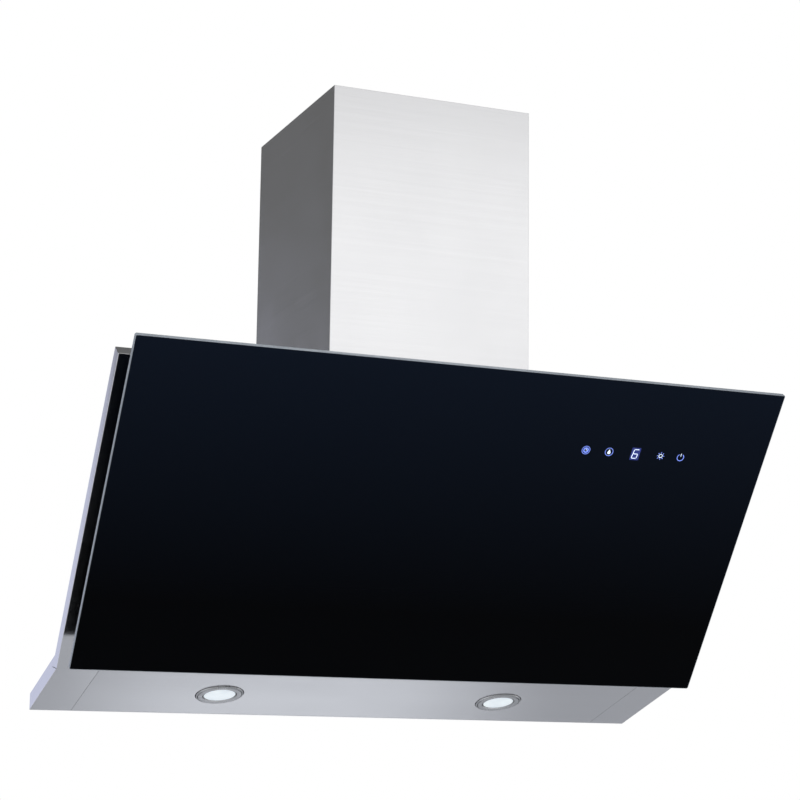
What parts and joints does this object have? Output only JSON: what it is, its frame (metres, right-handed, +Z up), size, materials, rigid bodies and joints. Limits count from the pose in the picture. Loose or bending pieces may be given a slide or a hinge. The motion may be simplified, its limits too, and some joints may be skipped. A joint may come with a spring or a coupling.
{
  "type": "wall mounted range hood",
  "caption": "Wall-mounted kitchen hood: tilting black glass front on a folded steel body, chimney cover, lamps, touch keys, filters and centrifugal fan.",
  "frame": {"origin": "middle of the four wall-screw holes in the motor box back plate, on the wall plane", "axes": "+X to the right seen from the front, +Y back into the wall, +Z up"},
  "size_m": [0.9, 0.4671, 0.825],
  "materials": {
    "stainless": "fine horizontal brushing",
    "galvanised": "zinc coated sheet",
    "aluminium": "pressed, natural",
    "black_glass": "back-painted black, polished",
    "frame_paint": "black powder coat",
    "dark_plastic": "moulded, fine texture",
    "fan_plastic": "moulded, glass filled",
    "pale_plastic": "moulded",
    "board": "solder mask green",
    "display": "digit module",
    "lens": "frosted lens",
    "lamp_metal": "turned, satin",
    "bright_steel": "bright zinc or ground",
    "copper": "enamelled copper windings and laminations",
    "rubber": "moulded"
  },
  "bodies": {
    "hood": {"body_shell": "stainless", "lamp_panel": "stainless", "panel_clips": "bright_steel", "motor_box_back": "galvanised", "motor_box_top": "galvanised", "motor_box_floor": "galvanised", "motor_box_side_left": "galvanised", "motor_box_side_right": "galvanised", "filter_seat": "galvanised", "filter_frame_left": "aluminium", "filter_frame_right": "aluminium", "filter_meshes": "aluminium", "scroll_left": "fan_plastic", "scroll_right": "fan_plastic", "stator": "copper", "motor_bearings": "bright_steel", "motor_shell_front": "galvanised", "motor_shell_rear": "galvanised", "motor_bracket": "galvanised", "motor_grommets": "rubber", "capacitor": "pale_plastic", "control_box": "dark_plastic", "control_lid": "dark_plastic", "main_board": "board", "terminal_block": "pale_plastic", "lamp_driver": "pale_plastic", "cable_gland": "dark_plastic", "wiring": "rubber", "outlet_collar": "dark_plastic", "flap_pins": "bright_steel", "lower_chimney": "stainless", "chimney_guides": "pale_plastic", "screws": "bright_steel", "lamp_rings": "lamp_metal", "lamp_lenses": "lens", "lamp_bodies": "aluminium", "led_boards": "pale_plastic", "hinge_bracket_left": "galvanised", "hinge_bracket_right": "galvanised", "hinge_pins": "bright_steel", "catch_magnets": "dark_plastic", "bumpers": "rubber"},
    "impeller": {"impeller": "fan_plastic", "motor_shaft": "bright_steel", "rotor": "galvanised"},
    "glass_door": {"glass_panel": "black_glass", "glass_frame": "frame_paint", "hinge_arm_left": "frame_paint", "hinge_arm_right": "frame_paint", "striker_plates": "bright_steel", "touch_housing": "dark_plastic", "touch_board": "board", "digit_display": "display"},
    "flap_front": {"flap_front": "dark_plastic"},
    "flap_back": {"flap_back": "dark_plastic"},
    "upper_chimney": {"upper_chimney": "stainless", "upper_bracket": "galvanised", "bracket_screws": "bright_steel"},
    "latch_left": {"filter_latch_left": "dark_plastic"},
    "latch_right": {"filter_latch_right": "dark_plastic"}
  },
  "joints": [
    {"name": "glass_hinge", "type": "hinge", "parent": "hood", "child": "glass_door", "pos_m": [0, -0.41237, 0.15755], "axis": [-1, 0, 0], "range_deg": [0, 80]},
    {"name": "impeller_spin", "type": "hinge", "parent": "hood", "child": "impeller", "pos_m": [0, -0.118, 0.018], "axis": [1, 0, 0], "continuous": true},
    {"name": "flap_front_hinge", "type": "hinge", "parent": "hood", "child": "flap_front", "pos_m": [0, -0.1575, 0.1765], "axis": [-1, 0, 0], "range_deg": [0, 75]},
    {"name": "flap_back_hinge", "type": "hinge", "parent": "hood", "child": "flap_back", "pos_m": [0, -0.1475, 0.1765], "axis": [1, 0, 0], "range_deg": [0, 75]},
    {"name": "upper_chimney_slide", "type": "slide", "parent": "hood", "child": "upper_chimney", "axis": [0, 0, 1], "range_m": [0, 0.3]},
    {"name": "latch_left_slide", "type": "slide", "parent": "hood", "child": "latch_left", "axis": [0, -0.5736, 0.8192], "range_m": [0, 0.006], "stiffness_N_per_m": 250, "springref_m": -0.004},
    {"name": "latch_right_slide", "type": "slide", "parent": "hood", "child": "latch_right", "axis": [0, -0.5736, 0.8192], "range_m": [0, 0.006], "stiffness_N_per_m": 250, "springref_m": -0.004}
  ]
}
